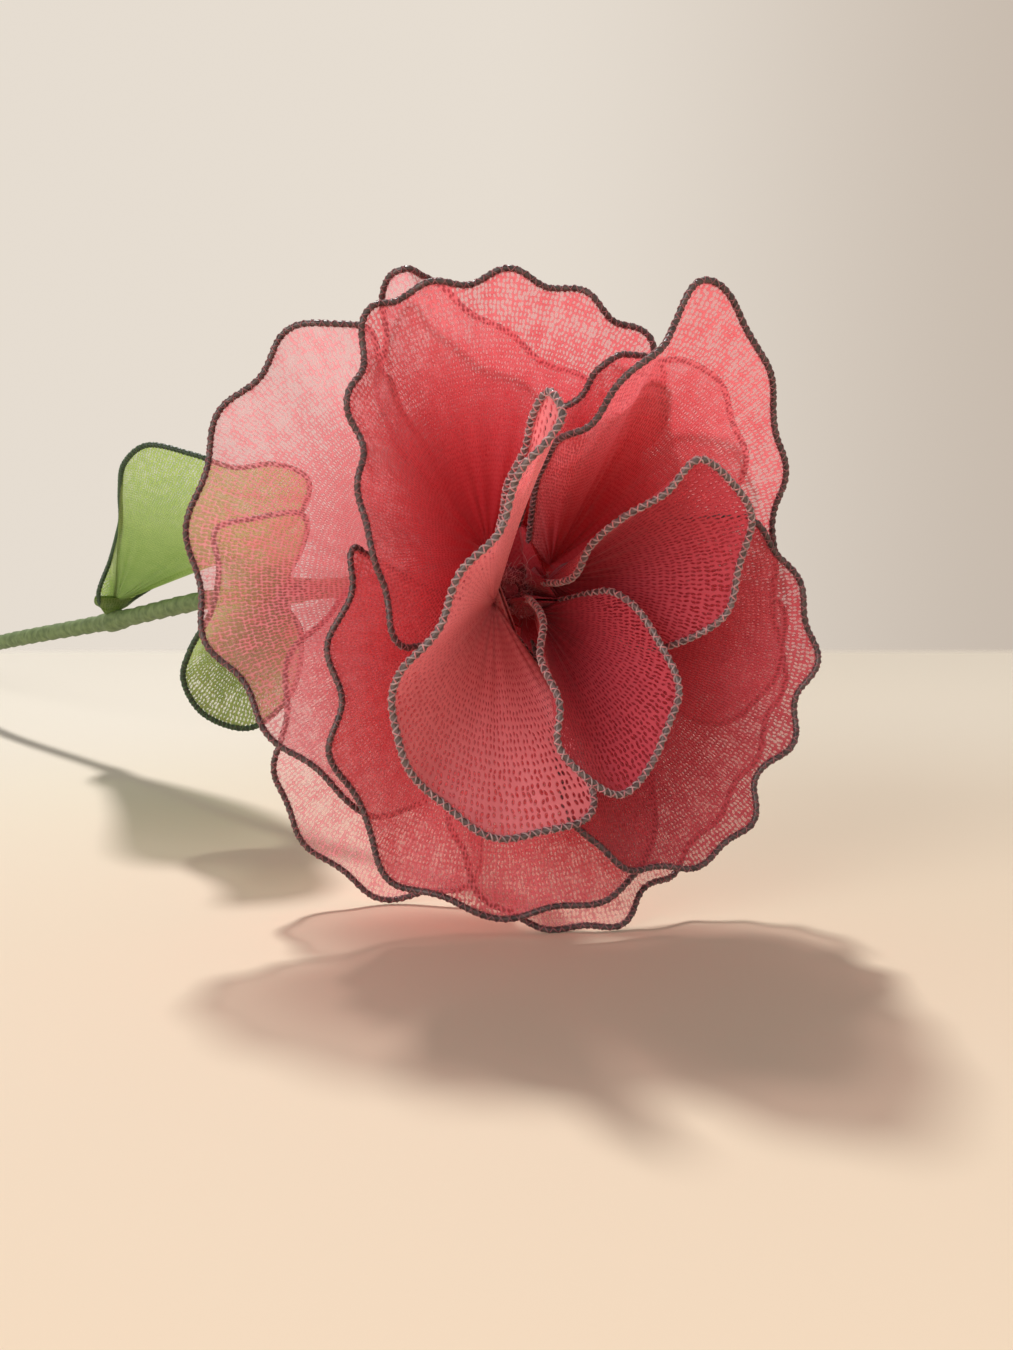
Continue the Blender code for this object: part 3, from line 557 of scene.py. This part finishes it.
def stretchedKnit(name, loop, foot, seed, sleeveMargin):
    far = np.linalg.norm(loop - foot, axis=1) > head["neckRise"] * head["neckClear"]
    rim = loop[np.argmax(far):len(loop) - np.argmax(far[::-1])]
    neck = foot + unit(unit(loop - foot).mean(axis=0)) * head["neckRise"]
    edge = spread(rim, np.linspace(0, 1, knit["columns"]))
    pitch = lengths(edge)[-1] / (knit["columns"] - 1)
    reach = np.linalg.norm(edge - neck, axis=1).mean()
    shares = 1 - (1 - np.linspace(knit["firstRow"], 1, knit["rows"])) ** knit["rimCrowding"]
    rows = []
    for share in shares:
        width = min((1 - share) * reach * knit["tension"] / pitch, knit["columns"] * knit["widestBlur"])
        rows.append(neck + (blurred(edge, width) - neck) * share)
    grid = np.array(rows)

    # Gathers run up from the foot and fade out towards the rim
    normal = unit(np.cross(np.gradient(grid, axis=1), np.gradient(grid, axis=0)))
    across = np.linspace(0, 1, knit["columns"])
    wander = 0
    for number, (size, waves) in enumerate(knit["pleatWander"], 1):
        wander = wander + size * np.sin(2 * math.pi * waves * across + number * seed)
    ends = np.clip(knit["pleatEnds"] * np.minimum(across, 1 - across), 0, 1)
    fold = np.sin(2 * math.pi * (knit["pleats"] * across + wander)) * ends
    rise = shares / knit["pleatPeak"] * np.exp(1 - shares / knit["pleatPeak"]) * (1 - shares)
    grid = grid + normal * (knit["pleatDepth"] * rise[:, None] * fold[None, :])[:, :, None]

    # Stitches: wales run from the foot to the rim, and courses lie across them
    smooth = blurred(edge, knit["columns"] * knit["stitchBlur"])
    waleCount = lengths(smooth)[-1] / knit["wale"]
    wale = np.tile(lengths(smooth) / lengths(smooth)[-1] * waleCount, (knit["rows"], 1))
    course = np.linalg.norm(grid - neck, axis=2) / knit["course"]
    width = np.linalg.norm(np.gradient(grid, axis=1), axis=2) / np.maximum(np.gradient(wale, axis=1), 1e-6)
    openness = np.clip((width / knit["wale"] - knit["closedBelow"]) / knit["openOver"], 0, knit["mostOpen"])

    count = knit["columns"]
    faces = [(0, 1 + j, 2 + j) for j in range(count - 1)]
    corners = [((wale[0, j] + wale[0, j + 1]) / 2, 0, wale[0, j], course[0, j],
                wale[0, j + 1], course[0, j + 1]) for j in range(count - 1)]
    for i in range(knit["rows"] - 1):
        for j in range(count - 1):
            a, b = 1 + i * count + j, 1 + (i + 1) * count + j
            faces.append((a, b, b + 1, a + 1))
            corners.append((wale[i, j], course[i, j], wale[i + 1, j], course[i + 1, j], wale[i + 1, j + 1],
                            course[i + 1, j + 1], wale[i, j + 1], course[i, j + 1]))
    sleeve = gatheredSleeve(loop, foot, sleeveMargin)
    first, sides = 1 + knit["rows"] * count, gather["sides"]
    for i in range(gather["stations"] - 1):
        for j in range(sides):
            k = (j + 1) % sides
            a, b = first + i * sides, first + (i + 1) * sides
            faces.append((a + j, a + k, b + k, b + j))
            corners.append((2 * j, i, 2 * j + 2, i, 2 * j + 2, i + 1, 2 * j, i + 1))
    points = np.concatenate([[neck], grid.reshape(-1, 3), sleeve.reshape(-1, 3)])
    mesh = bpy.data.meshes.new(name)
    mesh.from_pydata([tuple(place) for place in points], [], faces)
    mesh.uv_layers.new(name="knit").data.foreach_set("uv", np.concatenate([np.array(c) for c in corners]))
    values = np.concatenate([[0.0], openness.reshape(-1), np.zeros(sleeve.size // 3)]).astype(np.float32)
    mesh.attributes.new("openness", "FLOAT", "POINT").data.foreach_set("value", values)
    mesh.shade_smooth()
    area = sheetArea(grid) + sheetArea(np.concatenate([sleeve, sleeve[:, :1]], axis=1))
    piece = bpy.data.objects.new(name, mesh)
    bpy.context.scene.collection.objects.link(piece)
    solidify = piece.modifiers.new("knitThickness", "SOLIDIFY")
    solidify.thickness = knit["thickness"]
    solidify.offset = 0
    return piece, area, reach


def declare(piece, node):
    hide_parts(node)
    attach(piece, "root")


sheetSizes = {}


def dressLoop(name, node, loop, foot, look):
    wire = growPiece(name + "Wire", [loop], wrapTree, {
        "Wire Radius": look["wireRadius"], "Thread Radius": look["threadRadius"],
        "Lay Length": look["layLength"], "Strands": look["strands"], "Picot Radius": look["picotRadius"],
        "Picot Lay": -look["picotLay"], "Picots": 1, "Wire Material": materials[look["wire"]],
        "Thread Material": materials[look["wrap"]], "Picot Material": materials[look["picot"]]})
    declare(wire, node + "_wire")
    seed = float(len(sheetSizes))
    cover, area, reach = stretchedKnit(name + "Cover", loop, foot, seed, look["sleeveMargin"])
    cover.data.materials.append(materials[look["knit"]])
    declare(cover, node + "_cover")
    cut = area / knit["stretch"]
    flat = (cut / knit["cutShare"] / reach, reach)
    sheetSizes[cover.name] = [round(flat[0] / mm, 1), round(flat[1] / mm, 1)]


# Petals. Knots are in hundredths of the ring's length from the throat: across, up and towards the viewer.
# A seat is the angle round the knob in degrees and the distance behind the throat in millimetres.
# Scallops are their number, phase and height in millimetres.
innerRing = {
    # The inner ring's knit colour is darker, as painted shade in its cups.
    "length": 40 * mm, "knit": "shadedInnerKnit", "wire": "greyWire", "wrap": "greyWrap", "wireSlot": "rim_wire",
    "knitSlot": "coral_nylon", "wireRadius": 0.36 * mm, "threadRadius": 0.115 * mm, "layLength": 1.9 * mm,
    "strands": 2, "picot": "pinkPicot", "picotRadius": 0.10 * mm, "picotLay": 1.3 * mm, "steps": 260,
    "solidRadius": 0.45 * mm, "sleeveMargin": 1.1 * mm,
    "petals": [
        # The front petal's knit colour is lighter, as painted light.
        dict(seat=(205, 0.5), scallops=(11.5, 0.20, 0.5), knit="litFrontKnit", knots=[
            (-3, 23, 32), (3, 44, 55), (11, 58, 70), (14, 53, 78), (9, 45, 78), (3, 37, 75), (-3, 22, 72),
            (-13, 10, 72), (-20, -5, 72), (-30, -18, 70), (-34, -30, 68), (-28, -47, 65), (-18, -60, 62),
            (0, -68, 60), (14, -67, 55), (24, -61, 48), (22, -47, 40), (14, -30, 22)]),
        dict(seat=(310, 0.9), scallops=(6.0, 0.10, 0.2), knots=[
            (6, -2, 15), (10, -8, 35), (9, -18, 48), (14, -29, 57), (14, -41, 60), (21, -50, 60),
            (32, -56, 55), (42, -48, 50), (48, -35, 45), (50, -27, 42), (46, -15, 38), (39, -4, 32),
            (30, 1, 24), (19, -2, 11)]),
        dict(seat=(25, 1.5), scallops=(6.0, 0.10, 0.2), knots=[
            (11, 3, 10), (19, 6, 28), (24, 16, 38), (33, 24, 45), (44, 31, 50), (54, 41, 52), (65, 33, 45),
            (72, 23, 38), (69, 8, 32), (65, -6, 30), (50, -16, 24), (35, -15, 12), (19, -7, 2)]),
    ],
}
middleRing = innerRing | {
    "length": 44 * mm, "knit": "middleKnit", "wire": "darkWire", "wrap": "mauveWrap",
    "threadRadius": 0.085 * mm, "picot": "mauvePicot", "picotRadius": 0.07 * mm, "sleeveMargin": 1.9 * mm,
    "petals": [
        # This lower petal's knit colour is darker, as painted shade.
        dict(seat=(325, 3.2), scallops=(13.0, 0.10, 0.5), knit="shadedLowerKnit", knots=[
            (10, -29, 9), (14, -54, 30), (21, -66, 36), (30, -74, 34), (39, -77, 30), (50, -78, 25),
            (59, -74, 23), (69, -67, 20), (71, -55, 18), (81, -43, 16), (84, -30, 14), (88, -18, 14),
            (84, -2, 14), (78, 10, 16), (68, 20, 18), (51, 22, 16), (26, 9, 2)]),
        dict(seat=(235, 3.2), scallops=(10.5, 0.35, 0.3), knots=[
            (-21, -1, 2), (-35, 8, 20), (-43, 13, 30), (-44, 2, 32), (-50, -13, 32), (-47, -28, 34),
            (-50, -42, 34), (-44, -55, 32), (-39, -67, 32), (-33, -80, 34), (-17, -84, 36), (0, -90, 36),
            (14, -86, 35), (28, -85, 32), (37, -79, 23), (43, -61, 11), (33, -33, -2)]),
        dict(seat=(40, 5.0), scallops=(11.5, 0.90, 0.5), knots=[
            (6, 21, 7), (10, 39, 32), (20, 46, 45), (27, 55, 50), (37, 64, 50), (43, 73, 45), (49, 82, 43),
            (60, 78, 36), (67, 65, 30), (74, 54, 20), (75, 43, 16), (79, 31, 9), (76, 16, 7), (79, -6, 2),
            (79, -27, 0), (70, -38, -2), (55, -39, -5), (34, -25, -9)]),
        dict(seat=(88, 5.2), scallops=(9.0, 0.30, 0.5), knots=[
            (3, 21, -2), (8, 44, 11), (16, 53, 20), (24, 61, 25), (31, 67, 25), (40, 64, 20), (44, 52, 11),
            (35, 35, 0), (18, 13, -9)]),
        dict(seat=(138, 7.6), scallops=(15.5, 0.85, 0.8), knots=[
            (-12, -9, 14), (-27, -14, 36), (-34, -2, 39), (-35, 10, 41), (-40, 21, 39), (-40, 36, 34),
            (-43, 51, 32), (-40, 69, 25), (-37, 80, 23), (-24, 84, 20), (-8, 88, 18), (7, 88, 16),
            (22, 82, 14), (37, 73, 9), (44, 56, 0), (36, 35, -7), (15, 13, -14)]),
    ],
}
outerRing = middleRing | {
    "length": 45 * mm, "knit": "outerKnit", "sleeveMargin": 1.6 * mm,
    "petals": [
        dict(seat=(182, 8.2), scallops=(11.0, 0.75, 0.4), knots=[
            (-20, 32, -4), (-34, 59, 9), (-39, 73, 16), (-51, 74, 16), (-62, 71, 13), (-70, 60, 13),
            (-80, 50, 13), (-85, 36, 13), (-90, 18, 13), (-88, 1, 13), (-85, -13, 16), (-76, -24, 18),
            (-68, -38, 20), (-57, -47, 22), (-46, -57, 22), (-36, -63, 18), (-23, -59, 9), (-15, -33, -2)]),
        dict(seat=(215, 10), scallops=(9.5, 0.45, 0.5), knots=[
            (-24, -1, -16), (-40, 4, -9), (-53, -7, -4), (-62, -15, -2), (-66, -29, 0), (-67, -44, 2),
            (-69, -56, 2), (-64, -69, 2), (-56, -79, 2), (-41, -90, 2), (-27, -91, 2), (-12, -86, 2),
            (-6, -58, -9)]),
        dict(seat=(285, 10), scallops=(14.5, 0.10, 0.5), knots=[
            (-6, -34, -9), (-17, -64, 11), (-11, -79, 22), (-3, -88, 27), (14, -92, 29), (29, -92, 27),
            (39, -84, 20), (46, -81, 13), (57, -71, 4), (68, -58, -2), (76, -44, -7), (82, -25, -9),
            (81, -7, -11), (69, 2, -13), (34, -4, -20)]),
        dict(seat=(110, 10), scallops=(9.0, 0.45, 0.4), knots=[
            (-18, 26, -16), (-37, 49, -7), (-36, 71, 2), (-33, 88, 9), (-28, 90, 11), (-23, 87, 4),
            (-10, 79, -2), (2, 71, -4), (12, 65, -7), (22, 59, -7), (19, 41, -13), (6, 17, -20)]),
        dict(seat=(55, 10), scallops=(9.0, 0.75, 0.4), knots=[
            (15, 26, -13), (29, 52, -4), (40, 63, 0), (51, 66, 0), (59, 59, 0), (65, 47, 0), (67, 32, -2),
            (59, 17, -7), (30, 8, -18)]),
    ],
}


def knotPlaces(knots, length):
    return np.array([(across, -towards, up) for across, up, towards in knots]) * length / 100


# A foot stands off the knob's corners by the gap and the radius of the solid's wire
def petalFoot(seat, wireRadius):
    angle, back = math.radians(seat[0]), seat[1] * mm
    knob = float(np.interp(back, np.delete(head["knobStations"], 1), np.delete(head["knobRadii"], 1)))
    reach = (knob + head["gap"]) / math.cos(math.pi / head["knobSides"]) + wireRadius
    return np.array([reach * math.cos(angle), back, reach * math.sin(angle)])


for ringName, ring in (("inner", innerRing), ("middle", middleRing), ("outer", outerRing)):
    for number, petal in enumerate(ring["petals"], 1):
        foot = petalFoot(petal["seat"], ring["solidRadius"])
        knots = knotPlaces(petal["knots"], ring["length"])
        count, phase, height = petal["scallops"]
        loop = bentLoop(foot, knots, ring["steps"], (count, phase, height * mm))
        look = ring | {"knit": petal.get("knit", ring["knit"])}
        names = f"{ringName}Petal{number}", f"{ringName}_petal_{number}"
        dressLoop(*names, loop + throat, foot + throat, look)
    print(ringName, "petals made")

# The stem's route from the throat: across, back and up
stem = {
    "route": [(0, 6, 0), (0, 18, 0), (-5, 27, -0.5), (-20, 42, -2), (-38, 60, -4), (-57, 80, -7),
              (-83, 109, -13.5), (-123, 152, -22.5), (-156, 200, -32), (-183, 251, -40.4)],
    "routeSteps": 400,
    "radius": 1.7 * mm,
    "sides": 20,
    "station": 0.6 * mm,
    "lapLength": 5.5 * mm,
    "lapHeight": 0.30 * mm,
    "lapEdge": 0.12,
    "crinkle": 0.25 * mm,
    "crinkleScale": 900.0,
    "tieSwell": 0.55 * mm,
    "tieSpread": 4 * mm,
    "throatDepth": 12 * mm,
}
stemRoute = smoothCurve(np.array(stem["route"]) * mm, closed=False)
stemRoute = spread(stemRoute, np.linspace(0, 1, stem["routeSteps"]))

# Leaves. Knots are in hundredths of the leaf's length from its tie: across, towards the viewer and up.
leaves = {
    "knit": "leafKnit", "wire": "greenWire", "wrap": "greenWrap", "wireSlot": "leaf_wire",
    "knitSlot": "green_nylon", "wireRadius": 0.42 * mm, "threadRadius": 0.085 * mm, "layLength": 1.5 * mm,
    "strands": 2, "picot": "greenPicot", "picotRadius": 0.07 * mm, "picotLay": 1.3 * mm, "steps": 200,
    "solidRadius": 0.5 * mm, "sleeveMargin": 0.6 * mm,
    "both": [
        dict(length=56 * mm, tiedAt=6, knots=[
            (-2, 13, 11), (3, 14, 23), (12, 34, 34), (17, 48, 39), (21, 62, 48), (27, 77, 57),
            (36, 84, 62), (51, 88, 59), (64, 89, 55), (77, 91, 56), (86, 89, 52), (81, 73, 40),
            (58, 43, 27), (24, 13, 17)]),
        dict(length=36 * mm, tiedAt=4, knots=[
            (10, 34, 22), (15, 50, 34), (12, 61, 38), (-3, 72, 36), (-20, 78, 31), (-19, 78, 14),
            (-24, 72, -4), (-35, 67, -22), (-39, 64, -35), (-31, 61, -51), (-11, 56, -58), (7, 50, -42),
            (10, 40, -18)]),
    ],
}
ties = []
for number, leaf in enumerate(leaves["both"], 1):
    tied = np.array(stem["route"][leaf["tiedAt"]]) * mm
    nearest = np.argmin(np.linalg.norm(stemRoute - tied, axis=1))
    ties.append(nearest)
    run = unit(stemRoute[nearest + 1] - stemRoute[nearest - 1])
    knots = knotPlaces([(across, up, towards) for across, towards, up in leaf["knots"]], leaf["length"])
    growth = knots.mean(axis=0)
    growth = unit(growth - run * (growth @ run))
    standOff = (stem["radius"] + head["gap"]) / math.cos(math.pi / head["knobSides"])
    standOff += leaves["solidRadius"]
    foot = stemRoute[nearest] + growth * standOff
    loop = bentLoop(foot, stemRoute[nearest] + knots, leaves["steps"], (0, 0.25, 0))
    dressLoop(f"leaf{number}", f"leaf_{number}", loop + throat, foot + throat, leaves)
print("leaves made")

# Tape round the stem, thicker over the knob and where each leaf is tied in. Near the throat it takes the
# gathered knit's red, darkened as painted shade.
headLine = [-head["nippleLength"], -0.2 * mm] + list(head["knobStations"])
headRadii = [head["nippleRadius"]] * 2 + list(head["knobRadii"])
start = np.searchsorted(stemRoute[:, 1], headLine[-1] + stem["radius"])
tapeLine = np.array([(0, back, 0) for back in headLine] + list(stemRoute[start:]))
thick = np.array(headRadii + [stem["radius"]] * (len(tapeLine) - len(headLine)))
for nearest in ties:
    near = np.linalg.norm(tapeLine - stemRoute[nearest], axis=1)
    thick += stem["tieSwell"] * np.exp(-(near / stem["tieSpread"]) ** 2)
tape = growPiece("stemTape", [tapeLine + throat], tapeTree, {
    "Sides": stem["sides"], "Station": stem["station"], "Lap Length": stem["lapLength"],
    "Lap Height": stem["lapHeight"], "Lap Edge": stem["lapEdge"], "Crinkle": stem["crinkle"],
    "Crinkle Scale": stem["crinkleScale"], "Throat End": throat[1] + stem["throatDepth"],
    "Tape Material": materials["stemTape"], "Throat Material": materials["shadedThroatKnit"]}, thick)
declare(tape, "stem_tape")

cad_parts["stem_wire"].data.materials.clear()
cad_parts["stem_wire"].data.materials.append(materials["stemSteel"])
print("stem taped")

# Thread tied round the nipple
thread = {
    "turns": 2, "pitch": 0.6 * mm, "diameter": 0.4 * mm, "stepsPerTurn": 24, "coreRadius": 0.14 * mm,
    "strandRadius": 0.07 * mm, "strandLay": 0.9 * mm, "strands": 3, "hairRadius": 0.03 * mm,
    "hairLay": 1.0 * mm,
}
turns = np.linspace(0, thread["turns"], thread["turns"] * thread["stepsPerTurn"] + 1)
reach = head["nippleRadius"] + head["gap"] + thread["diameter"] / 2
front = head["nippleLength"] - thread["turns"] * thread["pitch"] - thread["diameter"] / 2
threadLine = np.stack([reach * np.cos(2 * math.pi * turns), -front - thread["pitch"] * turns,
                       reach * np.sin(2 * math.pi * turns)], axis=1)
binding = growPiece("bindingThread", [threadLine + throat], wrapTree, {
    "Wire Radius": thread["coreRadius"], "Thread Radius": thread["strandRadius"],
    "Lay Length": thread["strandLay"], "Strands": thread["strands"], "Picot Radius": thread["hairRadius"],
    "Picot Lay": -thread["hairLay"], "Picots": 1, "Wire Material": materials["tyingThread"],
    "Thread Material": materials["tyingThread"], "Picot Material": materials["tyingThread"]})
declare(binding, "binding_thread")

# Loose fibres where the knit is cut and tied at the throat
fibres = {
    "count": 140, "points": 9, "shortest": 2.0 * mm, "longest": 6.5 * mm, "radius": 0.024 * mm,
    "bend": 0.42, "nearest": 0.1 * mm, "farthest": 2.2 * mm, "deepest": 1.5 * mm, "leastOut": 0.2,
    "mostOut": 1.6, "seed": 11,
}
chance = np.random.default_rng(fibres["seed"])
fibreLines = []
for i in range(fibres["count"]):
    turn = chance.uniform(0, 2 * math.pi)
    rise = chance.uniform(fibres["nearest"], fibres["farthest"])
    back = chance.uniform(0, fibres["deepest"])
    place = np.array([rise * math.cos(turn), -head["nippleLength"] + back, rise * math.sin(turn)])
    towards = chance.uniform(fibres["leastOut"], fibres["mostOut"])
    course = unit(np.array([math.cos(turn), -towards, math.sin(turn)]))
    step = chance.uniform(fibres["shortest"], fibres["longest"]) / fibres["points"]
    line = [place]
    for _ in range(fibres["points"]):
        course = unit(course + chance.normal(0, fibres["bend"], 3))
        line.append(line[-1] + course * step)
    fibreLines.append(np.array(line) + throat)
fuzz = growPiece("throatFibres", fibreLines, fibreTree, {
    "Fibre Radius": fibres["radius"], "Fibre Material": materials["pinkPicot"]})
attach(fuzz, "root")
print("throat tied")


# Table, wall colour and light
room = {
    "stops": [
        (-0.27, (0.95, 0.73, 0.52)), (-0.16, (0.91, 0.74, 0.56)), (0.06, (0.92, 0.83, 0.70)),
        (0.19, (0.86, 0.78, 0.66))],
    "halfWidth": 4, "edgeBlur": 0.02, "tableRoughness": 0.7, "tableSpecular": 0.1,
    "rightShade": (0.86, 0.82, 0.78), "rightFrom": -0.02, "rightTo": 0.14, "farFrom": 0.05, "farTo": 0.5,
    "wall": (0.79, 0.72, 0.635), "wallShade": (0.57, 0.49, 0.415), "shadeFrom": -0.02, "shadeTo": 0.42,
    "aheadFrom": 0.2, "aheadTo": 0.8, "ambient": (0.20, 0.202, 0.206),
    "lamps": {"sun": {"strength": 2.4, "travels": (0.14, -0.66, -1.0), "width": 6},
              "window": {"strength": 1.4, "travels": (0.62, 0.66, -0.30), "width": 40}},
}
half = room["halfWidth"]
tableMesh = bpy.data.meshes.new("table")
tableMesh.from_pydata([(-half, -half, 0), (half, -half, 0), (half, half, 0), (-half, half, 0)], [],
                      [(0, 1, 2, 3)])
table = bpy.data.objects.new("table", tableMesh)
bpy.context.scene.collection.objects.link(table)
tableMaterial, tree = newMaterial("tableTop")
place = put(tree, "ShaderNodeTexCoord").outputs["Object"]
axes = put(tree, "ShaderNodeSeparateXYZ", {0: place}).outputs
nearY, edgeY = room["stops"][0][0], room["stops"][-1][0]
share = put(tree, "ShaderNodeMapRange", {"Value": axes["Y"], "From Min": nearY, "From Max": edgeY}).outputs[0]
ramp = put(tree, "ShaderNodeValToRGB", {0: share})
ramp.color_ramp.interpolation = "EASE"
while len(ramp.color_ramp.elements) < len(room["stops"]):
    ramp.color_ramp.elements.new(0.5)
for element, (stop, colour) in zip(ramp.color_ramp.elements, room["stops"]):
    element.position = (stop - nearY) / (edgeY - nearY)
    element.color = (*colour, 1)
# The table's far right is darker, as painted shade.
toRight = put(tree, "ShaderNodeMapRange", {
    "Value": axes["X"], "From Min": room["rightFrom"], "From Max": room["rightTo"]},
    interpolation_type="SMOOTHSTEP").outputs[0]
farther = put(tree, "ShaderNodeMapRange", {
    "Value": share, "From Min": room["farFrom"], "From Max": room["farTo"]}).outputs[0]
shaded = put(tree, "ShaderNodeMix", {
    "Factor": calc(tree, "MULTIPLY", toRight, farther), 6: ramp.outputs[0], 7: (*room["rightShade"], 1)},
    data_type="RGBA", blend_type="MULTIPLY").outputs[2]
top = put(tree, "ShaderNodeBsdfPrincipled", {
    "Base Color": shaded, "Roughness": room["tableRoughness"], "Specular IOR Level": room["tableSpecular"]})
ends = put(tree, "ShaderNodeMapRange", {
    "Value": axes["Y"], "From Min": edgeY, "From Max": edgeY + room["edgeBlur"]}).outputs[0]
beyond = put(tree, "ShaderNodeBsdfTransparent")
faded = put(tree, "ShaderNodeMixShader", {0: ends, 1: top.outputs[0], 2: beyond.outputs[0]})
put(tree, "ShaderNodeOutputMaterial", {0: faded.outputs[0]})
tableMesh.materials.append(tableMaterial)

world = bpy.data.worlds.new("studio")
bpy.context.scene.world = world
world.use_nodes = True
tree = world.node_tree
tree.nodes.clear()
rays = put(tree, "ShaderNodeLightPath").outputs
seen = calc(tree, "MAXIMUM", calc(tree, "MAXIMUM", rays["Is Camera Ray"], rays["Is Glossy Ray"]),
            rays["Is Transmission Ray"])
# The wall ahead is darker towards the right, as painted shade.
heading = put(tree, "ShaderNodeTexCoord").outputs["Generated"]
axes = put(tree, "ShaderNodeSeparateXYZ", {0: heading}).outputs
toRight = calc(tree, "DIVIDE", axes["X"], calc(tree, "MAXIMUM", axes["Y"], room["aheadFrom"]))
shade = put(tree, "ShaderNodeMapRange", {
    "Value": toRight, "From Min": room["shadeFrom"], "From Max": room["shadeTo"]},
    interpolation_type="SMOOTHSTEP").outputs[0]
ahead = put(tree, "ShaderNodeMapRange", {
    "Value": axes["Y"], "From Min": room["aheadFrom"], "From Max": room["aheadTo"]}).outputs[0]
wallColour = put(tree, "ShaderNodeMix", {
    "Factor": calc(tree, "MULTIPLY", shade, ahead), 6: (*room["wall"], 1), 7: (*room["wallShade"], 1)},
    data_type="RGBA").outputs[2]
wall = put(tree, "ShaderNodeBackground", {"Color": wallColour, "Strength": 1.0})
soft = put(tree, "ShaderNodeBackground", {"Color": (*room["ambient"], 1), "Strength": 1.0})
mixed = put(tree, "ShaderNodeMixShader", {0: seen, 1: soft.outputs[0], 2: wall.outputs[0]})
put(tree, "ShaderNodeOutputWorld", {0: mixed.outputs[0]})

for name, lamp in room["lamps"].items():
    light = bpy.data.lights.new(name, "SUN")
    light.energy = lamp["strength"]
    light.angle = math.radians(lamp["width"])
    holder = bpy.data.objects.new(name, light)
    holder.rotation_euler = Vector(lamp["travels"]).to_track_quat("-Z", "Y").to_euler()
    bpy.context.scene.collection.objects.link(holder)
print("table and light set")

print("flat sizes in mm", sheetSizes)
